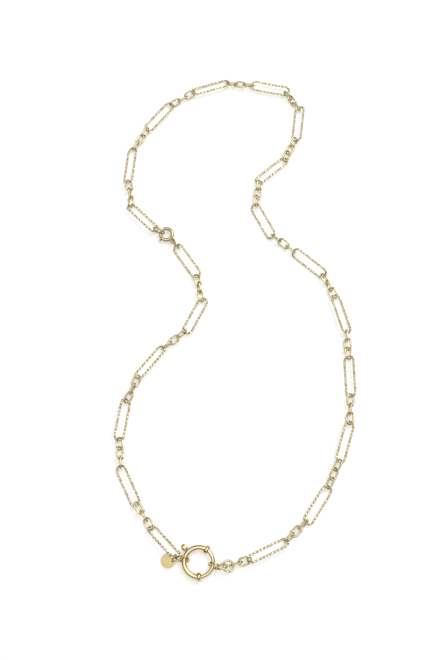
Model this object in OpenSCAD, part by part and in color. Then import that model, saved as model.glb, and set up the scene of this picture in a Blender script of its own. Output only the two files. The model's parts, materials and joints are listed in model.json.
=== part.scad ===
// Convertible necklace laid out in one closed loop: long oval links, groups of three small
// links between them, a sailor clasp, a small spring ring clasp and a round tag.
// Millimetres. +Z is up, and the origin is under the middle of the loop, on the surface.

/* [Chain] */
// Length of a long link, tip to tip
long_l = 18; // [17.9:0.1:18.1]
// Width of a long link between the middles of its strands
long_w = 4; // [3.9:0.1:4.1]
// Thickness of a long link's wire
long_wire = 0.9; // [0.8:0.05:0.9]
// Length of a small link, tip to tip
small_l = 5.7; // [5.65:0.05:5.75]
// Width of a small link between the middles of its strands
small_w = 2.8; // [2.75:0.05:2.85]
// Thickness of a small link's wire
small_wire = 0.75; // [0.65:0.05:0.75]

/* [Rings and tag] */
// Diameter of a jump ring through the middle of its wire
ring_d = 4.2; // [4.15:0.05:4.25]
// Width of a hook link between the middles of its strands
hook_w = 3.5; // [3.45:0.05:3.55]
// Thickness of the wire of jump rings and hook links
ring_wire = 0.75; // [0.7:0.05:0.75]
// Diameter of the tag
tag_d = 5.7; // [5.5:0.1:5.8]
// Thickness of the tag
tag_t = 0.5; // [0.4:0.05:0.5]
// Diameter of the tag ring through the middle of its wire
tag_ring_d = 3; // [2.95:0.05:3.05]
// Thickness of the tag ring's wire
tag_ring_wire = 0.45; // [0.4:0.05:0.45]

/* [Sailor clasp] */
// Diameter of the clasp through the middle of its tube
sailor_d = 11; // [10.9:0.05:11.1]
// Outer diameter of the tube
sailor_tube = 1.95; // [1.9:0.05:2]
// Thickness of the latch's wire
sailor_wire = 1.45; // [1.35:0.05:1.45]

/* [Spring ring clasp] */
// Diameter of the clasp through the middle of its tube
spring_d = 5.1; // [5.05:0.05:5.15]
// Outer diameter of the tube
spring_tube = 1.4; // [1.35:0.05:1.45]
// Thickness of the latch's wire
spring_wire = 0.9; // [0.8:0.05:0.9]

/* [Hidden] */
$fn = 32;
gold = [0.85, 0.70, 0.38];

// The long links in order round the loop: where the middle is, which way the link
// points, how far it leans over, and the lean of the small links that follow it.
//  x, y, heading, roll, rolls of the small links
links = [
    [-27.3, -95.7, 133, 35, [-25, 85, 25]],
    [-42.0, -73.5, 115, -30, [-85, 35, -35]],
    [-45.0, -47.0, 81, 35, [-20, 85, 30]],
    [-34.5, -23.0, 51, -30, [-85, -10, 80]],
    [-16.5, -3.0, 63, -15, [40, -75, 30]],
    [-20.0, 21.5, 124, -30, []],
    [-39.0, 41.5, 135, 25, [-45, 75, 25]],
    [-45.0, 66.5, 84, -30, [90, -10, 60]],
    [-33.0, 90.5, 51, -10, [60, -60, 45]],
    [-10.5, 105.5, 18, -20, [-75, -10, -75]],
    [16.0, 105.0, 348, 5, [-45, 60, -45]],
    [28.0, 87.0, 263, 30, [-60, 15, -40]],
    [16.0, 64.0, 221, 20, [-50, 15, -55]],
    [12.0, 40.0, 297, 35, [-65, 40, -65]],
    [31.0, 20.5, 319, 40, [-35, 80, 30]],
    [43.5, -2.0, 286, -25, [-85, 35, -30]],
    [46.0, -29.0, 271, 35, [-25, 85, 30]],
    [43.0, -56.0, 253, -30, [40, -30, 45]],
    [31.5, -81.0, 237, -25, [-75, 10, -70]],
    [12.0, -98.5, 206, 35, []]
];
// Least height of a link's axis, where a neighbour's wire passes under it
axis_z = 1.6;
small_axis_z = 1.35;

// The two small links between the last long link and the rings of the sailor clasp:
// their leans, the place they point at, and how far each reaches into the next
pair_rolls = [-20, 75];
pair_aim = [-3.35, -104.35];
pair_reach = 1.4;

// Jump rings on the right of the sailor clasp: name, x, y, z, heading, roll
rings = [
    ["ring_right_1", -8.45, -104.25, 2.45, 341, 70],
    ["ring_right_2", -5.65, -104.6, 2.3, 9.5, -57],
    ["ring_right_3", -3.2, -104.3, 1.95, 86, 16.5]
];
// Short oval links that hook the chain to the clasps: name, length, x, y, z, heading, roll
hooks = [
    ["hook_left", 5.5, -20.45, -101.75, 2.1, 170, 111.5],
    ["hook_small_upper", 5.6, -32, 35.25, 2.2, 155.5, 93.5],
    ["hook_small_lower", 5.2, -24.85, 29.15, 2.2, -51.5, 96]
];

// Tag and its ring
tag_at = [-26, -102.15];
tag_hole_way = -10.5;
tag_lean = 15.7;
tag_hole_d = 1.1;
tag_hole_out = 2;
tag_ring_at = [-23.65, -101.35, 2.25];
tag_ring_heading = 64;
tag_ring_roll = 81.5;

// Sailor clasp: angles are measured in the ring's plane, counter-clockwise from +X
sailor_at = [-14.35, -102.85, 2.05];
sailor_tilt = 3;
sailor_wall = 0.15;
sailor_mouths = [57, 271];
sailor_collar_r = 1.15;
sailor_collar_wire = 1.2;
sailor_latch_from = 131;
sailor_latch_to = 427;
sailor_trigger = 135;
sailor_travel = 55;
sailor_knob_d = 2.1;
sailor_knob_end = 9.2;
sailor_post_d = 0.6;

// Spring ring clasp
spring_at = [-28.9, 33.8, 1.8];
spring_tilt = 2;
spring_wall = 0.15;
spring_mouths = [200, 470];
spring_latch_from = 100;
spring_latch_to = 232;
spring_trigger = 228;
spring_travel = 55;
spring_knob_d = 0.8;
spring_knob_end = 4.1;
spring_post_d = 0.4;
spring_eye = 312;
spring_eye_out = 4.1;
spring_eye_d = 1.8;
spring_eye_wire = 0.5;

// Gap between a slot's side and the trigger's post, and between a knob and the tube
post_gap = 0.1;
knob_gap = 0.15;

function two_digits(n) = str(n < 10 ? "0" : "", n);
connectors = [for (i = [0 : len(links) - 1]) if (len(links[i][4]) > 0) i];
long_names = [for (i = [0 : len(links) - 1]) str("long_link_", two_digits(i + 1))];
connector_names = [for (i = [0 : len(connectors) - 1]) str("connector_", two_digits(i + 1))];
ring_names = [for (r = rings) r[0]];
hook_names = [for (h = hooks) h[0]];

// Where a link lies: its directions, its middle and the middles of its rounded ends
function along(heading) = [cos(heading), sin(heading), 0];
function across(heading, roll) = [-sin(heading) * cos(roll), cos(heading) * cos(roll), sin(roll)];
function flat(v) = [v.x, v.y];
function way(v) = flat(v) / norm(flat(v));
function rest_z(wire, width, roll) = wire / 2 + width / 2 * abs(sin(roll));
function middle(link) = [link[0], link[1], max(rest_z(long_wire, long_w, link[3]), axis_z)];
function end_middle(link, side) =
    middle(link) + side * (long_l - long_wire - long_w) / 2 * along(link[2]);

// Point of a long link's rounded end that faces the way u
function hook(link, side, u) =
    let (a = atan2(u.y, u.x) - link[2])
    end_middle(link, side) + long_w / 2 * (cos(a) * along(link[2]) + sin(a) * across(link[2], link[3]));

// Places of the three small links between two long ones: each reaches equally into the next
small_pitch = small_l - small_wire;
function small_z(z, roll) = max(rest_z(small_wire, small_w, roll), z, small_axis_z);
function connector_places(a, b) =
    let (u = way(end_middle(b, -1) - end_middle(a, 1)),
        from = hook(a, 1, u),
        to = hook(b, -1, -u),
        span = norm(flat(to - from)),
        reach = (3 * small_pitch - span) / 4)
    [for (j = [0 : 2])
        let (f = (small_pitch / 2 - reach + j * (small_pitch - reach)) / span,
            p = from + f * (to - from))
        [p.x, p.y, small_z(p.z, a[4][j])]];
function connector_heading(a, b) =
    let (u = way(end_middle(b, -1) - end_middle(a, 1)),
        d = hook(b, -1, -u) - hook(a, 1, u))
    atan2(d.y, d.x);

module lay(at, heading, roll) {
    translate(at)
        rotate([0, 0, heading])
            rotate([roll, 0, 0])
                children();
}

// Part of a ring of round wire, counter-clockwise from one angle to another
module arc(d, wire, from, to) {
    rotate([0, 0, from])
        rotate_extrude(angle = to - from, $fn = 96)
            translate([d / 2, 0])
                circle(d = wire);
}

module round_ring(d, wire) {
    rotate_extrude($fn = 64)
        translate([d / 2, 0])
            circle(d = wire);
}

// Oval link along X, lying flat
module oval_link(length, width, wire) {
    straight = length - wire - width;
    translate([straight / 2, 0, 0])
        arc(width, wire, -90, 90);
    translate([-straight / 2, 0, 0])
        arc(width, wire, 90, 270);
    for (side = [-1, 1])
        translate([-straight / 2, side * width / 2, 0])
            rotate([0, 90, 0])
                cylinder(d = wire, h = straight);
}

module long_link(i) {
    link = links[i];
    color(gold)
        lay(middle(link), link[2], link[3])
            oval_link(long_l, long_w, long_wire);
}

module small_link(at, heading, roll) {
    lay(at, heading, roll)
        oval_link(small_l, small_w, small_wire);
}

module connector(i) {
    a = links[i];
    b = links[i + 1];
    places = connector_places(a, b);
    color(gold)
        for (j = [0 : 2])
            small_link(places[j], connector_heading(a, b), a[4][j]);
}

module end_pair() {
    link = links[len(links) - 1];
    u = way(flat(end_middle(link, 1)) - pair_aim);
    start = hook(link, 1, -u);
    color(gold)
        for (j = [0 : 1]) {
            p = flat(start) - u * (small_pitch / 2 - pair_reach + j * (small_pitch - pair_reach));
            at = [p.x, p.y, small_z(start.z, pair_rolls[j])];
            small_link(at, atan2(-u.y, -u.x), pair_rolls[j]);
        }
}

module jump_ring(i) {
    r = rings[i];
    color(gold)
        lay([r[1], r[2], r[3]], r[4], r[5])
            round_ring(ring_d, ring_wire);
}

module hook_link(i) {
    h = hooks[i];
    color(gold)
        lay([h[2], h[3], h[4]], h[5], h[6])
            oval_link(h[1], hook_w, ring_wire);
}

// Flat disc resting on its far edge, with its holed edge raised on its ring
module tag() {
    rise = tag_d / 2 * sin(tag_lean) + tag_t / 2 * cos(tag_lean);
    color(gold)
        translate([tag_at.x, tag_at.y, rise])
            rotate([0, 0, tag_hole_way])
                rotate([0, -tag_lean, 0])
                    difference() {
                        translate([0, 0, -tag_t / 2])
                            cylinder(d = tag_d, h = tag_t, $fn = 64);
                        translate([tag_hole_out, 0, -tag_t])
                            cylinder(d = tag_hole_d, h = 2 * tag_t);
                    }
}

module tag_ring() {
    color(gold)
        lay(tag_ring_at, tag_ring_heading, tag_ring_roll)
            round_ring(tag_ring_d, tag_ring_wire);
}

module on_clasp(at, tilt) {
    translate(at)
        rotate([tilt, 0, 0])
            children();
}

// Slot in the outer side of a clasp's tube, along which the trigger's post travels
module trigger_slot(d, tube, post_d, from, to) {
    width = post_d + 2 * post_gap;
    spare = asin(width / d);
    rotate([0, 0, from - spare])
        rotate_extrude(angle = to - from + 2 * spare, $fn = 96)
            translate([d / 2, -width / 2])
                square([tube, width]);
}

// Post and round-ended knob of a trigger, pointing away from the clasp's middle
module trigger(angle, d, tube, post_d, knob_d, knob_end) {
    knob_from = d / 2 + tube / 2 + knob_gap;
    rotate([0, 0, angle])
        rotate([0, 90, 0]) {
            translate([0, 0, d / 2])
                cylinder(d = post_d, h = knob_from - d / 2 + knob_gap);
            translate([0, 0, knob_from])
                rotate_extrude()
                    knob_profile(knob_d / 2, knob_end - knob_from);
        }
}

module knob_profile(r, h) {
    square([r, h - r]);
    translate([0, h - r])
        intersection() {
            circle(r = r);
            square(r);
        }
}

module sailor_clasp() {
    color(gold)
        on_clasp(sailor_at, sailor_tilt)
            difference() {
                union() {
                    arc(sailor_d, sailor_tube, sailor_mouths[0], sailor_mouths[1]);
                    for (mouth = sailor_mouths)
                        rotate([0, 0, mouth])
                            translate([sailor_d / 2, 0, 0])
                                rotate([90, 0, 0])
                                    round_ring(2 * sailor_collar_r, sailor_collar_wire);
                }
                round_ring(sailor_d, sailor_tube - 2 * sailor_wall);
                trigger_slot(sailor_d, sailor_tube, sailor_post_d,
                    sailor_trigger - sailor_travel, sailor_trigger);
            }
}

module sailor_latch() {
    color(gold)
        on_clasp(sailor_at, sailor_tilt) {
            arc(sailor_d, sailor_wire, sailor_latch_from, sailor_latch_to);
            trigger(sailor_trigger, sailor_d, sailor_tube, sailor_post_d,
                sailor_knob_d, sailor_knob_end);
        }
}

module spring_clasp() {
    color(gold)
        on_clasp(spring_at, spring_tilt)
            difference() {
                union() {
                    arc(spring_d, spring_tube, spring_mouths[0], spring_mouths[1]);
                    rotate([0, 0, spring_eye])
                        translate([spring_eye_out, 0, 0])
                            round_ring(spring_eye_d, spring_eye_wire);
                }
                round_ring(spring_d, spring_tube - 2 * spring_wall);
                trigger_slot(spring_d, spring_tube, spring_post_d,
                    spring_trigger, spring_trigger + spring_travel);
            }
}

module spring_latch() {
    color(gold)
        on_clasp(spring_at, spring_tilt) {
            arc(spring_d, spring_wire, spring_latch_from, spring_latch_to);
            trigger(spring_trigger, spring_d, spring_tube, spring_post_d,
                spring_knob_d, spring_knob_end);
        }
}

for (i = [0 : len(links) - 1])
    long_link(i);
for (i = [0 : len(connectors) - 1])
    connector(connectors[i]);
for (i = [0 : len(rings) - 1])
    jump_ring(i);
for (i = [0 : len(hooks) - 1])
    hook_link(i);
end_pair();
sailor_clasp();
sailor_latch();
spring_clasp();
spring_latch();
tag();
tag_ring();
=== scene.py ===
import json
from math import asin, cos, degrees, hypot, pi, radians, sin, tau

import bmesh
import bpy
import numpy as np
from mathutils import Matrix, Vector


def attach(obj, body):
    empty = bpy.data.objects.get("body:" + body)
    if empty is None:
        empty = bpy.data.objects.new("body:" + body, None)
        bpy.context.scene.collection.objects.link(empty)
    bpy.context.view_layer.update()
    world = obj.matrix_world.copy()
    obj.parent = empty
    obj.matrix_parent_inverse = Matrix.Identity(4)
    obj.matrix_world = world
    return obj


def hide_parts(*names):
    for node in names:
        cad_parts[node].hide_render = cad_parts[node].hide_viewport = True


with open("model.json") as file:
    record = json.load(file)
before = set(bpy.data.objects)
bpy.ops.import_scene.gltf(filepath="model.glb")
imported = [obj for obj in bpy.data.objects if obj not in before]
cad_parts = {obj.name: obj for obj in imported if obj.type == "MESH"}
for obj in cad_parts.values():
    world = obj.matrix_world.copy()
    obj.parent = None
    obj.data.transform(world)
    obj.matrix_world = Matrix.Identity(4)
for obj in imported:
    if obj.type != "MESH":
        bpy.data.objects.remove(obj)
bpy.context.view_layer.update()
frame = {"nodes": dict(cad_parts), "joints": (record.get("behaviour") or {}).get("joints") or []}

nodes = frame["nodes"]
joints = {joint["name"]: joint for joint in frame["joints"]}
mm = 0.001
print("frame loaded:", len(nodes), "nodes")


# Materials. Two effects are shared by all the golds: patches of tone, and marks of handling.

def addNode(tree, kind, values=None, **settings):
    node = tree.nodes.new(kind)
    for key, value in settings.items():
        setattr(node, key, value)
    for key, value in (values or {}).items():
        node.inputs[key].default_value = value
    return node


def newGroup(name, inputs, outputs):
    group = bpy.data.node_groups.new(name, "ShaderNodeTree")
    for label, kind, value in inputs:
        socket = group.interface.new_socket(label, in_out="INPUT", socket_type=kind)
        socket.default_value = value
    for label, kind in outputs:
        group.interface.new_socket(label, in_out="OUTPUT", socket_type=kind)
    return group, group.nodes.new("NodeGroupInput"), group.nodes.new("NodeGroupOutput")


def makeToneGroup():
    group, start, end = newGroup(
        "platingTone",
        [("Light", "NodeSocketColor", (1, 1, 1, 1)), ("Deep", "NodeSocketColor", (1, 1, 1, 1)),
         ("Patch Size", "NodeSocketFloat", 1.5)],
        [("Color", "NodeSocketColor")])
    place = addNode(group, "ShaderNodeTexCoord")
    scale = addNode(group, "ShaderNodeMath", {0: 1 / mm}, operation="DIVIDE")
    noise = addNode(group, "ShaderNodeTexNoise", {"Detail": 3.0, "Roughness": 0.55})
    spread = addNode(group, "ShaderNodeMapRange", {"From Min": 0.35, "From Max": 0.65})
    mix = addNode(group, "ShaderNodeMix", data_type="RGBA")
    group.links.new(start.outputs["Patch Size"], scale.inputs[1])
    group.links.new(place.outputs["Object"], noise.inputs["Vector"])
    group.links.new(scale.outputs[0], noise.inputs["Scale"])
    group.links.new(noise.outputs["Fac"], spread.inputs["Value"])
    group.links.new(spread.outputs["Result"], mix.inputs["Factor"])
    group.links.new(start.outputs["Deep"], mix.inputs["A"])
    group.links.new(start.outputs["Light"], mix.inputs["B"])
    group.links.new(mix.outputs["Result"], end.inputs["Color"])
    return group


def makeMarksGroup():
    group, start, end = newGroup(
        "handlingMarks",
        [("Smooth", "NodeSocketFloat", 0.15), ("Rubbed", "NodeSocketFloat", 0.3),
         ("Smudge Size", "NodeSocketFloat", 1.5), ("Scratch Size", "NodeSocketFloat", 0.12),
         ("Stretch", "NodeSocketFloat", 8.0)],
        [("Roughness", "NodeSocketFloat"), ("Scratches", "NodeSocketFloat")])
    place = addNode(group, "ShaderNodeTexCoord")
    smudgeScale = addNode(group, "ShaderNodeMath", {0: 1 / mm}, operation="DIVIDE")
    smudge = addNode(group, "ShaderNodeTexNoise", {"Detail": 3.0, "Roughness": 0.5})
    rough = addNode(group, "ShaderNodeMapRange", {"From Min": 0.3, "From Max": 0.7})
    along = addNode(group, "ShaderNodeCombineXYZ", {"X": 1.0, "Y": 1.0, "Z": 1.0})
    turned = addNode(group, "ShaderNodeMapping", {"Rotation": (0.3, 0.2, 0.9)})
    scale = addNode(group, "ShaderNodeMath", {0: 1 / mm}, operation="DIVIDE")
    lines = addNode(group, "ShaderNodeTexNoise", {"Detail": 2.0, "Roughness": 0.5})
    sharp = addNode(group, "ShaderNodeMapRange", {"From Min": 0.55, "From Max": 0.75})
    group.links.new(start.outputs["Smudge Size"], smudgeScale.inputs[1])
    group.links.new(smudgeScale.outputs[0], smudge.inputs["Scale"])
    group.links.new(place.outputs["Object"], smudge.inputs["Vector"])
    group.links.new(smudge.outputs["Fac"], rough.inputs["Value"])
    group.links.new(start.outputs["Smooth"], rough.inputs["To Min"])
    group.links.new(start.outputs["Rubbed"], rough.inputs["To Max"])
    group.links.new(rough.outputs["Result"], end.inputs["Roughness"])
    group.links.new(start.outputs["Stretch"], along.inputs["Y"])
    group.links.new(place.outputs["Object"], turned.inputs["Vector"])
    group.links.new(along.outputs["Vector"], turned.inputs["Scale"])
    group.links.new(start.outputs["Scratch Size"], scale.inputs[1])
    group.links.new(turned.outputs["Vector"], lines.inputs["Vector"])
    group.links.new(scale.outputs[0], lines.inputs["Scale"])
    group.links.new(lines.outputs["Fac"], sharp.inputs["Value"])
    group.links.new(sharp.outputs["Result"], end.inputs["Scratches"])
    return group


toneGroup = makeToneGroup()
marksGroup = makeMarksGroup()

# Colours are linear. Patch, smudge and scratch are sizes in mm. Edge is the tone at grazing angles.
# The hooks round the clasps, the tag ring and the small clasp look browner and darker than the
# chain does, so they have golds of their own with a darker deep tone: this is painted shade, for
# the shade where the links crowd round the clasps and in the small clasp's tube.
golds = {
    "twistedGold": {"light": (0.97, 0.89, 0.61), "deep": (0.56, 0.48, 0.26),
                    "edge": (0.30, 0.25, 0.11),
                    "patch": 1.0, "smooth": 0.06, "rubbed": 0.20, "smudge": 1.2,
                    "scratch": 0.10, "stretch": 5.0, "bump": 0.10},
    "linkGold": {"light": (0.95, 0.86, 0.55), "deep": (0.61, 0.52, 0.27),
                 "edge": (0.30, 0.24, 0.10),
                 "patch": 1.5, "smooth": 0.08, "rubbed": 0.18, "smudge": 1.6,
                 "scratch": 0.12, "stretch": 8.0, "bump": 0.05},
    "claspGold": {"light": (0.87, 0.75, 0.43), "deep": (0.78, 0.65, 0.34),
                  "edge": (0.30, 0.22, 0.08),
                  "patch": 3.5, "smooth": 0.10, "rubbed": 0.17, "smudge": 3.0,
                  "scratch": 0.15, "stretch": 10.0, "bump": 0.04},
    # painted shade: a darker gold for the small hooks and the small clasp, standing in for the
    # shade between crowded links
    "shadedGold": {"light": (0.86, 0.73, 0.43), "deep": (0.46, 0.37, 0.20),
                   "edge": (0.26, 0.19, 0.07),
                   "patch": 1.0, "smooth": 0.10, "rubbed": 0.24, "smudge": 1.2,
                   "scratch": 0.12, "stretch": 8.0, "bump": 0.06},
    # painted shade: a warmer, much darker gold for the hook and tag ring, standing in for the shade
    # where they overlap the links
    "warmShadedGold": {"light": (0.88, 0.73, 0.37), "deep": (0.36, 0.27, 0.11),
                 "edge": (0.24, 0.17, 0.06),
                 "patch": 0.9, "smooth": 0.08, "rubbed": 0.18, "smudge": 1.2,
                 "scratch": 0.12, "stretch": 8.0, "bump": 0.06},
    "tagGold": {"light": (0.93, 0.79, 0.42), "deep": (0.88, 0.72, 0.34),
                "edge": (0.70, 0.56, 0.26),
                "patch": 2.5, "smooth": 0.28, "rubbed": 0.40, "smudge": 2.0,
                "scratch": 0.07, "stretch": 14.0, "bump": 0.15},
}
scratchDepth = 0.02 * mm


def makeGold(name, look):
    material = bpy.data.materials.new(name)
    material.use_nodes = True
    tree = material.node_tree
    shader = tree.nodes["Principled BSDF"]
    shader.inputs["Metallic"].default_value = 1.0
    shader.inputs["Specular Tint"].default_value = (*look["edge"], 1)
    tone = addNode(tree, "ShaderNodeGroup", node_tree=toneGroup)
    tone.inputs["Light"].default_value = (*look["light"], 1)
    tone.inputs["Deep"].default_value = (*look["deep"], 1)
    tone.inputs["Patch Size"].default_value = look["patch"]
    marks = addNode(tree, "ShaderNodeGroup", node_tree=marksGroup)
    marks.inputs["Smooth"].default_value = look["smooth"]
    marks.inputs["Rubbed"].default_value = look["rubbed"]
    marks.inputs["Smudge Size"].default_value = look["smudge"]
    marks.inputs["Scratch Size"].default_value = look["scratch"]
    marks.inputs["Stretch"].default_value = look["stretch"]
    bump = addNode(tree, "ShaderNodeBump", {"Strength": look["bump"], "Distance": scratchDepth})
    tree.links.new(tone.outputs["Color"], shader.inputs["Base Color"])
    tree.links.new(marks.outputs["Roughness"], shader.inputs["Roughness"])
    tree.links.new(marks.outputs["Scratches"], bump.inputs["Height"])
    tree.links.new(bump.outputs["Normal"], shader.inputs["Normal"])
    return material


materials = {name: makeGold(name, look) for name, look in golds.items()}
print("materials:", len(materials))


# Shared steps of the modelling

def vertsOf(geom):
    return [g for g in geom if isinstance(g, bmesh.types.BMVert)]


def edgesOf(geom):
    return [g for g in geom if isinstance(g, bmesh.types.BMEdge)]


def turnBy(degreesRound, axis):
    return Matrix.Rotation(radians(degreesRound), 3, axis)


def extrudeRim(bm, edges):
    # grows one more ring of faces from an open rim, and returns its verts and edges
    grown = bmesh.ops.extrude_edge_only(bm, edges=edges)["geom"]
    verts = vertsOf(grown)
    rim = [g for g in edgesOf(grown) if all(v in verts for v in g.verts)]
    return verts, rim


def scaleAbout(bm, verts, centre, factor):
    bmesh.ops.scale(bm, verts=verts, vec=(factor, factor, factor),
                    space=Matrix.Translation(-Vector(centre)))


def roundEnd(bm, rim, centre, outward, radius, rings=3):
    # closes a round wire's open rim with a dome
    before = 0.0
    for i in range(1, rings + 1):
        angle = i * pi / 2 / (rings + 1)
        verts, rim = extrudeRim(bm, rim)
        scaleAbout(bm, verts, centre, cos(angle) / cos(before))
        move = outward * radius * (sin(angle) - sin(before))
        bmesh.ops.translate(bm, verts=verts, vec=move)
        centre = centre + move
        before = angle
    bmesh.ops.contextual_create(bm, geom=rim)


def roundProfile(radius, sides):
    def profile(bm):
        ring = bmesh.ops.create_circle(bm, segments=sides, radius=radius)["verts"]
        bmesh.ops.rotate(bm, verts=ring, cent=(0, 0, 0), matrix=turnBy(90, "Y"))
        return ring
    return profile


def squareProfile(radius, corner):
    def profile(bm):
        ring = bmesh.ops.create_circle(bm, segments=4, radius=radius)["verts"]
        bmesh.ops.bevel(bm, geom=ring, affect="VERTICES", offset=corner, segments=1,
                        profile=0.5, material=-1)
        bmesh.ops.rotate(bm, verts=bm.verts, cent=(0, 0, 0), matrix=turnBy(90, "Y"))
        return list(bm.verts)
    return profile


same = 0.01 * mm      # lengths closer than this are taken as equal


def wireRing(length, width, profile, steps, quarterTurns=0, start=0.0, seam=0.0):
    # wire bent round an oval in the XY plane with its long side on X, closed or with a seam
    bm = bmesh.new()
    ring = profile(bm)
    straight = length - width      # between the middles of the rounded ends
    lineSteps, arcSteps = steps if straight > same else (0, steps[1])
    twist = quarterTurns * pi / 2 / (2 * (lineSteps + arcSteps))
    centre = Vector((-straight / 2 if lineSteps else 0, -width / 2, 0))
    bmesh.ops.rotate(bm, verts=ring, cent=(0, 0, 0), matrix=Matrix.Rotation(start, 3, "X"))
    bmesh.ops.translate(bm, verts=ring, vec=centre)
    heading = 0.0
    rim = list(bm.edges)
    first = list(rim)
    for side in (1, -1):
        pivot = Vector((side * straight / 2, 0, 0)) if lineSteps else Vector((0, 0, 0))
        for kind, count in (("line", lineSteps), ("arc", arcSteps)):
            for i in range(count):
                verts, rim = extrudeRim(bm, rim)
                ahead = Vector((cos(heading), sin(heading), 0))
                if twist:
                    bmesh.ops.rotate(bm, verts=verts, cent=centre,
                                     matrix=Matrix.Rotation(twist, 3, ahead))
                if kind == "line":
                    move = ahead * straight / count
                    bmesh.ops.translate(bm, verts=verts, vec=move)
                    centre = centre + move
                else:
                    turn = Matrix.Rotation(pi / count, 3, "Z")
                    bmesh.ops.rotate(bm, verts=verts, cent=pivot, matrix=turn)
                    centre = pivot + turn @ (centre - pivot)
                    heading += pi / count
    if seam:
        bmesh.ops.translate(bm, verts=verts, vec=(-seam, 0, 0))
        for end in (first, rim):
            bmesh.ops.contextual_create(bm, geom=end)
    else:
        bmesh.ops.remove_doubles(bm, verts=bm.verts, dist=same)
    bmesh.ops.recalc_face_normals(bm, faces=bm.faces)
    return bm


def addPart(whole, bm):
    # adds one closed shape to a piece made of several
    part = bpy.data.meshes.new("part")
    bm.to_mesh(part)
    bm.free()
    whole.from_mesh(part)
    bpy.data.meshes.remove(part)


def finishPiece(bm, name, material, body, replaced, smooth=True):
    mesh = bpy.data.meshes.new(name)
    bm.to_mesh(mesh)
    bm.free()
    for face in mesh.polygons:
        face.use_smooth = smooth
    mesh.materials.append(materials[material])
    piece = bpy.data.objects.new(name, mesh)
    bpy.context.scene.collection.objects.link(piece)
    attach(piece, body)
    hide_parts(*replaced)
    return piece


# A link's place and size come from its solid, so that the dressed link lies where the solid does

def looseSolids(node):
    bm = bmesh.new()
    bm.from_mesh(node.data)
    bmesh.ops.remove_doubles(bm, verts=bm.verts, dist=0.001 * mm)
    todo = set(bm.verts)
    solids = []
    while todo:
        reach = [todo.pop()]
        found = []
        while reach:
            v = reach.pop()
            found.append(tuple(v.co))
            for e in v.link_edges:
                other = e.other_vert(v)
                if other in todo:
                    todo.remove(other)
                    reach.append(other)
        solids.append(np.array(sorted(found)))
    bm.free()
    return sorted(solids, key=lambda points: tuple(points.mean(0)))


def measureLink(points):
    middle = (points.max(0) + points.min(0)) / 2
    axes = np.linalg.eigh(np.cov((points - points.mean(0)).T))[1]
    spread = (points - middle) @ axes
    thick, wide, long = spread.max(0) - spread.min(0)
    centre = Vector(middle + axes @ ((spread.max(0) + spread.min(0)) / 2))
    normal = Vector(axes[:, 0])
    along = Vector(axes[:, 2])
    if long - wide < 2 * same:        # a round ring has no long side, so one is chosen for it
        aside = Vector((1, 0.3, 0))
        along = (aside - normal * normal.dot(aside)).normalized()
    across = normal.cross(along)
    place = Matrix.Translation(centre) @ Matrix((along, across, normal)).transposed().to_4x4()
    return {"place": place, "long": long - thick, "wide": wide - thick, "wire": thick}


# Long links of twisted square wire

# Fullness is the square's half diagonal over the solid's wire. The corner is in mm. Steps are the
# rings of faces on a straight and on a bend. Each link's twist starts turnEach radians further on.
longLink = {"fullness": 0.567, "corner": 0.12, "quarterTurns": 26, "steps": (52, 26),
            "turnEach": 1.3, "count": 20}


def dressLongLinks():
    for number in range(1, longLink["count"] + 1):
        name = "long_link_%02d" % number
        size = measureLink(looseSolids(nodes[name])[0])
        profile = squareProfile(size["wire"] * longLink["fullness"], longLink["corner"] * mm)
        bm = wireRing(size["long"], size["wide"], profile, longLink["steps"],
                      longLink["quarterTurns"], start=number * longLink["turnEach"])
        bmesh.ops.transform(bm, verts=bm.verts, matrix=size["place"])
        finishPiece(bm, "twistedLink%02d" % number, "twistedGold", "chain", [name],
                    smooth=False)


dressLongLinks()
print("long links:", longLink["count"], "twisted")


# Small links, soldered shut, and the hook links, jump rings and tag ring, each with its seam

plainLink = {"sides": 14, "steps": (6, 16), "seam": 0.04, "groups": 18}
# the hooks and the tag ring take the darker golds, painted shade for the shade where they crowd
# round the clasps
plainGolds = {"hook_left": "warmShadedGold", "tag_ring": "warmShadedGold",
              "hook_small_upper": "shadedGold", "hook_small_lower": "shadedGold"}


def dressPlainLinks():
    soldered = [("connector_%02d" % i, "smallLinks%02d" % i)
                for i in range(1, plainLink["groups"] + 1)]
    soldered += [("end_pair", "smallLinksEnd")]
    seamed = [(name, "wire" + name.title().replace("_", ""))
              for name in ("hook_left", "hook_small_upper", "hook_small_lower",
                           "ring_right_1", "ring_right_2", "ring_right_3", "tag_ring")]
    for node, name in soldered + seamed:
        isSeamed = (node, name) in seamed
        whole = bmesh.new()
        for points in looseSolids(nodes[node]):
            size = measureLink(points)
            bm = wireRing(size["long"], size["wide"],
                          roundProfile(size["wire"] / 2, plainLink["sides"]), plainLink["steps"],
                          seam=plainLink["seam"] * mm if isSeamed else 0.0)
            bmesh.ops.transform(bm, verts=bm.verts, matrix=size["place"])
            addPart(whole, bm)
        finishPiece(whole, name, plainGolds.get(node, "linkGold"), "chain", [node])


dressPlainLinks()
print("plain links and rings dressed")


# Clasps. Angles are in degrees in the clasp's own plane, counter-clockwise from +X, and sizes are
# in mm. Across is the tube's middle line. The slot is where the trigger runs, slotHalf its half
# width as an angle round the tube, and knob where the knob begins and ends from the clasp's middle.

sailor = {"across": 11.0, "tube": 1.95, "wall": 0.15, "mouths": (57, 271),
          "slot": (80, 135), "slotHalf": 30, "slotSpare": 0.15,
          "latch": (131, 427), "wire": 1.45, "trigger": 135, "post": 0.6,
          "knob": (6.63, 9.2), "knobWide": 2.1, "flutes": 9, "facing": -1, "gold": "claspGold"}
sailorCollar = {"inner": 0.86, "outer": 1.72, "wide": 1.45}
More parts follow.
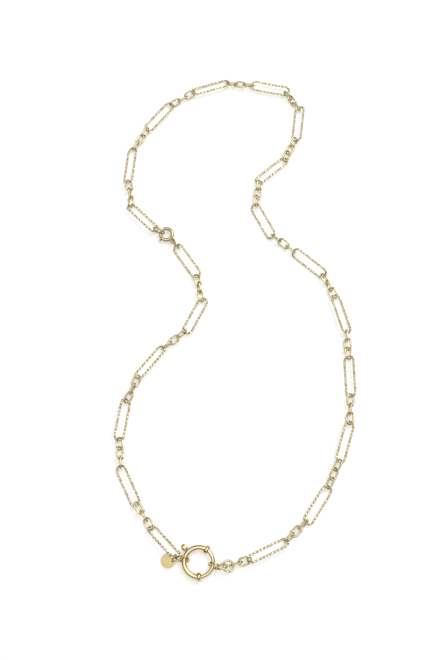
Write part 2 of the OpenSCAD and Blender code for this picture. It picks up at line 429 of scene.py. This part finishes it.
# the small clasp takes the darker gold, painted shade for the shade on its tube
spring = {"across": 5.1, "tube": 1.4, "wall": 0.15, "mouths": (200, 470),
          "slot": (228, 283), "slotHalf": 30, "slotSpare": 0.15,
          "latch": (100, 232), "wire": 0.9, "trigger": 228, "post": 0.4,
          "knob": (3.4, 4.1), "knobWide": 0.8, "flutes": 0, "facing": 1, "gold": "shadedGold"}
springEye = {"angle": 312, "out": 4.1, "across": 1.8, "wire": 0.5}
# The knob's outline from its foot to its tip, as shares of its height and of its width
knobShape = {"foot": 0.72, "groove": 0.84, "sunk": 0.1,
             "outline": [(0.08, 0.92), (0.2, 1.0), (0.45, 0.96), (0.62, 0.98), (0.76, 0.86),
                         (0.88, 0.64), (0.96, 0.36), (1.0, 0.12)]}


def claspPlace(look, joint):
    # the latch's joint gives the clasp's middle and the way its plane faces
    normal = Vector(joints[joint]["axis"]).normalized() * look["facing"]
    turn = Vector((0, 0, 1)).rotation_difference(normal).to_matrix().to_4x4()
    return Matrix.Translation(Vector(joints[joint]["pos_m"])) @ turn


def startWire(bm, across, wire, angle, sides):
    # one ring of a round wire, standing at an angle on the clasp's circle
    ring = bmesh.ops.create_circle(bm, segments=sides, radius=wire / 2 * mm)["verts"]
    bmesh.ops.rotate(bm, verts=ring, cent=(0, 0, 0), matrix=turnBy(90, "X"))
    bmesh.ops.translate(bm, verts=ring, vec=(across / 2 * mm, 0, 0))
    bmesh.ops.rotate(bm, verts=ring, cent=(0, 0, 0), matrix=turnBy(angle, "Z"))
    return ring


def onCircle(look, angle):
    a = radians(angle)
    return Vector((cos(a), sin(a), 0)) * look["across"] / 2 * mm, Vector((-sin(a), cos(a), 0))


def claspTube(look, sides=24, degreesEach=5):
    # hollow tube with an open slot for the trigger
    bm = bmesh.new()
    spare = degrees(asin((look["post"] + 2 * look["slotSpare"]) / look["across"]))
    slotFrom, slotTo = look["slot"][0] - spare, look["slot"][1] + spare
    stops = sorted([*look["mouths"], slotFrom, slotTo])
    ring = startWire(bm, look["across"], look["tube"], stops[0], sides)
    geom = ring + list(bm.edges)
    for begin, finish in zip(stops, stops[1:]):
        steps = max(2, round((finish - begin) / degreesEach))
        geom = bmesh.ops.spin(bm, geom=geom, cent=(0, 0, 0), axis=(0, 0, 1), use_merge=False,
                              angle=radians(finish - begin), steps=steps)["geom_last"]
    slotReach = look["tube"] / 2 * mm * sin(radians(look["slotHalf"]))
    slot = []
    for face in bm.faces:
        c = face.calc_center_median()
        angle = degrees(np.arctan2(c.y, c.x)) % 360
        outside = hypot(c.x, c.y) > look["across"] / 2 * mm
        if slotFrom < angle < slotTo and outside and abs(c.z) < slotReach:
            slot.append(face)
    bmesh.ops.delete(bm, geom=slot, context="FACES")
    bmesh.ops.recalc_face_normals(bm, faces=bm.faces)
    bmesh.ops.solidify(bm, geom=bm.faces, thickness=look["wall"] * mm)
    bmesh.ops.recalc_face_normals(bm, faces=bm.faces)
    return bm


def collarRing(look, collar, mouth, sides=16, around=32):
    # rounded collar, one full turn round the tube at its mouth
    bm = bmesh.new()
    ring = bmesh.ops.create_circle(bm, segments=sides, radius=mm)["verts"]
    deep = (collar["outer"] - collar["inner"]) / 2
    bmesh.ops.scale(bm, verts=ring, vec=(deep, collar["wide"] / 2, 1))
    bmesh.ops.translate(bm, verts=ring, vec=((collar["outer"] + collar["inner"]) / 2 * mm, 0, 0))
    bmesh.ops.spin(bm, geom=ring + list(bm.edges), cent=(0, 0, 0), axis=(0, 1, 0), angle=tau,
                   steps=around, use_merge=True)
    bmesh.ops.recalc_face_normals(bm, faces=bm.faces)
    bmesh.ops.translate(bm, verts=bm.verts, vec=(look["across"] / 2 * mm, 0, 0))
    bmesh.ops.rotate(bm, verts=bm.verts, cent=(0, 0, 0), matrix=turnBy(mouth, "Z"))
    return bm


def fixedEye(eye, sides=12, around=28):
    # small soldered ring at the outer side of the clasp
    across = eye["across"] * mm
    bm = wireRing(across, across, roundProfile(eye["wire"] / 2 * mm, sides), (0, around // 2))
    a = radians(eye["angle"])
    bmesh.ops.translate(bm, verts=bm.verts, vec=Vector((cos(a), sin(a), 0)) * eye["out"] * mm)
    return bm


def latchWire(look, sides=16, degreesEach=6):
    # curved wire with domed ends
    bm = bmesh.new()
    begin, finish = look["latch"]
    ring = startWire(bm, look["across"], look["wire"], begin, sides)
    first = list(bm.edges)
    steps = round((finish - begin) / degreesEach)
    last = bmesh.ops.spin(bm, geom=ring + first, cent=(0, 0, 0), axis=(0, 0, 1),
                          angle=radians(finish - begin), steps=steps, use_merge=False)["geom_last"]
    for angle, rim, way in ((begin, first, -1), (finish, last, 1)):
        centre, tangent = onCircle(look, angle)
        roundEnd(bm, edgesOf(rim), centre, tangent * way, look["wire"] / 2 * mm)
    bmesh.ops.recalc_face_normals(bm, faces=bm.faces)
    return bm


def triggerKnob(look, postSides=12, fewest=16, sidesEachFlute=4):
    # post and knob, made standing up and then laid outwards: a fluted barrel with a domed end
    bm = bmesh.new()
    low, high = look["knob"]
    wide = look["knobWide"] / 2
    foot = knobShape["foot"]
    count = max(fewest, sidesEachFlute * look["flutes"])
    post = bmesh.ops.create_circle(bm, segments=postSides, radius=look["post"] / 2 * mm)["verts"]
    base = look["across"] / 2
    bmesh.ops.translate(bm, verts=post, vec=(0, 0, base * mm))
    bottom = list(bm.edges)
    verts, rim = extrudeRim(bm, bottom)
    bmesh.ops.translate(bm, verts=verts, vec=(0, 0, (low + knobShape["sunk"] - base) * mm))
    for end in (bottom, rim):
        bmesh.ops.contextual_create(bm, geom=end)
    ring = bmesh.ops.create_circle(bm, segments=count, radius=mm)["verts"]
    if look["flutes"]:
        grooves = [v for i, v in enumerate(ring) if i % sidesEachFlute == 0]
        bmesh.ops.scale(bm, verts=grooves, vec=(knobShape["groove"], knobShape["groove"], 1))
    bmesh.ops.scale(bm, verts=ring, vec=(wide * foot, wide * foot, 1))
    bmesh.ops.translate(bm, verts=ring, vec=(0, 0, low * mm))
    rim = [e for e in bm.edges if all(v in ring for v in e.verts)]
    bmesh.ops.contextual_create(bm, geom=rim)
    tall = high - low
    before = (0.0, foot)
    for height, girth in knobShape["outline"]:
        verts, rim = extrudeRim(bm, rim)
        factor = girth / before[1]
        bmesh.ops.scale(bm, verts=verts, vec=(factor, factor, 1))
        bmesh.ops.translate(bm, verts=verts, vec=(0, 0, (height - before[0]) * tall * mm))
        before = (height, girth)
    bmesh.ops.contextual_create(bm, geom=rim)
    bmesh.ops.recalc_face_normals(bm, faces=bm.faces)
    bmesh.ops.rotate(bm, verts=bm.verts, cent=(0, 0, 0), matrix=turnBy(90, "Y"))
    bmesh.ops.rotate(bm, verts=bm.verts, cent=(0, 0, 0), matrix=turnBy(look["trigger"], "Z"))
    return bm


def dressClasps():
    for look, word in ((sailor, "sailor"), (spring, "spring")):
        clasp = word + "_clasp"
        latch = word + "_latch"
        place = claspPlace(look, latch + "_turn")
        body = bmesh.new()
        addPart(body, claspTube(look))
        if look is sailor:
            for mouth in look["mouths"]:
                addPart(body, collarRing(look, sailorCollar, mouth))
        else:
            addPart(body, fixedEye(springEye))
        bmesh.ops.transform(body, verts=body.verts, matrix=place)
        finishPiece(body, word + "ClaspTube", look["gold"], "chain", [clasp])
        moving = bmesh.new()
        addPart(moving, latchWire(look))
        addPart(moving, triggerKnob(look))
        bmesh.ops.transform(moving, verts=moving.verts, matrix=place)
        finishPiece(moving, word + "LatchWire", look["gold"], latch, [latch])


dressClasps()
print("clasps and latches dressed")


# Tag: a flat disc with a hole near its edge, its rims rounded, bare on both sides

tagLook = {"across": 5.7, "thick": 0.5, "hole": 1.1, "holeOut": 2.0, "rim": 0.07,
           "sides": 96, "holeSides": 32}


def measureTag(points):
    # the disc's normal is its thinnest way, and the only points inside its rim are the hole's
    place = measureLink(points)["place"]
    flat = [place.inverted() @ Vector(p) for p in points]
    inside = tagLook["across"] / 2 * mm * 0.98
    hole = [v for v in flat if hypot(v.x, v.y) < inside]
    towards = sum((Vector((v.x, v.y, 0)) for v in hole), Vector((0, 0, 0)))
    return place @ Matrix.Rotation(np.arctan2(towards.y, towards.x), 4, "Z")


def dressTag():
    place = measureTag(looseSolids(nodes["tag"])[0])
    bm = bmesh.new()
    bmesh.ops.create_circle(bm, segments=tagLook["sides"], radius=tagLook["across"] / 2 * mm)
    hole = bmesh.ops.create_circle(bm, segments=tagLook["holeSides"],
                                   radius=tagLook["hole"] / 2 * mm)["verts"]
    bmesh.ops.translate(bm, verts=hole, vec=(tagLook["holeOut"] * mm, 0, 0))
    bmesh.ops.triangle_fill(bm, use_beauty=True, edges=bm.edges)
    bmesh.ops.translate(bm, verts=bm.verts, vec=(0, 0, -tagLook["thick"] / 2 * mm))
    grown = bmesh.ops.extrude_face_region(bm, geom=list(bm.faces))["geom"]
    bmesh.ops.translate(bm, verts=vertsOf(grown), vec=(0, 0, tagLook["thick"] * mm))
    bmesh.ops.recalc_face_normals(bm, faces=bm.faces)
    rims = [e for e in bm.edges if e.calc_face_angle(0) > radians(60)]
    bmesh.ops.bevel(bm, geom=rims, affect="EDGES", offset=tagLook["rim"] * mm, segments=3,
                    profile=0.5, material=-1)
    bmesh.ops.transform(bm, verts=bm.verts, matrix=place)
    piece = finishPiece(bm, "tagDisc", "tagGold", "chain", ["tag"])
    normal = place.to_3x3() @ Vector((0, 0, 1))
    for face in piece.data.polygons:       # the two flat sides stay flat, the rims are smooth
        face.use_smooth = abs(face.normal.dot(normal)) < 0.999


dressTag()
print("tag dressed")


# Floor, light and camera

# Half the floor and the softbox's size and place are in metres. The sky is a list of heights, from
# 0 to 1, each with its brightness: dark low down, for the dark lines in the gold.
studio = {"floorHalf": 6.0, "paper": 0.92, "paperRough": 0.9, "glow": 0.34, "dome": 1.0,
          "keyPower": 2.2, "keySize": 0.5, "keyAt": (0.42, 0.40, 0.75),
          "keyColour": (1.0, 0.985, 0.95), "skyTint": (0.98, 0.97, 1.0),
          "sky": [(0.0, 0.12), (0.15, 0.04), (0.45, 0.08), (0.66, 0.40), (0.82, 1.0), (1.0, 1.4)]}
# Elevation in degrees, lens and the film's width in mm, distance and aim in mm
photoView = {"elevation": 70, "distance": 451, "aim": (-6.25, -8.5, 0), "lens": 60, "film": 36}


def makeStudio():
    bm = bmesh.new()
    bmesh.ops.create_grid(bm, x_segments=1, y_segments=1, size=studio["floorHalf"])
    mesh = bpy.data.meshes.new("floor")
    bm.to_mesh(mesh)
    bm.free()
    floor = bpy.data.objects.new("floor", mesh)
    bpy.context.scene.collection.objects.link(floor)
    paper = bpy.data.materials.new("paper")
    paper.use_nodes = True
    shader = paper.node_tree.nodes["Principled BSDF"]
    shader.inputs["Base Color"].default_value = (*[studio["paper"]] * 3, 1)
    shader.inputs["Roughness"].default_value = studio["paperRough"]
    shader.inputs["Emission Color"].default_value = (1, 1, 1, 1)
    shader.inputs["Emission Strength"].default_value = studio["glow"]
    mesh.materials.append(paper)
    world = bpy.context.scene.world or bpy.data.worlds.new("room")
    bpy.context.scene.world = world
    world.use_nodes = True
    tree = world.node_tree
    background = tree.nodes["Background"]
    place = addNode(tree, "ShaderNodeTexCoord")
    parts = addNode(tree, "ShaderNodeSeparateXYZ")
    ramp = addNode(tree, "ShaderNodeValToRGB")
    stops = ramp.color_ramp.elements
    while len(stops) < len(studio["sky"]):
        stops.new(0.5)
    for stop, (height, value) in zip(stops, studio["sky"]):
        stop.position = height
        stop.color = (*[value * part for part in studio["skyTint"]], 1)
    tree.links.new(place.outputs["Generated"], parts.inputs["Vector"])
    tree.links.new(parts.outputs["Z"], ramp.inputs["Fac"])
    # the gold mirrors the sky, but past the floor's edge the camera sees white, like the paper
    seen = addNode(tree, "ShaderNodeLightPath")
    mix = addNode(tree, "ShaderNodeMix", data_type="RGBA")
    mix.inputs["B"].default_value = (1, 1, 1, 1)
    tree.links.new(seen.outputs["Is Camera Ray"], mix.inputs["Factor"])
    tree.links.new(ramp.outputs["Color"], mix.inputs["A"])
    tree.links.new(mix.outputs["Result"], background.inputs["Color"])
    background.inputs["Strength"].default_value = studio["dome"]
    box = bpy.data.lights.new("softbox", "AREA")
    box.energy = studio["keyPower"]
    box.size = studio["keySize"]
    box.color = studio["keyColour"]
    lamp = bpy.data.objects.new("softbox", box)
    bpy.context.scene.collection.objects.link(lamp)
    lamp.location = studio["keyAt"]
    lamp.rotation_euler = (-Vector(studio["keyAt"])).to_track_quat("-Z", "Y").to_euler()


def makeCamera():
    data = bpy.data.cameras.new("camera")
    data.lens = photoView["lens"]
    data.sensor_width = photoView["film"]
    data.clip_start = 0.01
    camera = bpy.data.objects.new("camera", data)
    bpy.context.scene.collection.objects.link(camera)
    rise = radians(photoView["elevation"])
    back = Vector((0, -cos(rise), sin(rise))) * photoView["distance"]
    camera.location = (Vector(photoView["aim"]) + back) * mm
    camera.rotation_euler = (pi / 2 - rise, 0, 0)
    bpy.context.scene.camera = camera


makeStudio()
makeCamera()
bpy.context.scene.view_settings.view_transform = "Standard"
print("studio and camera set")
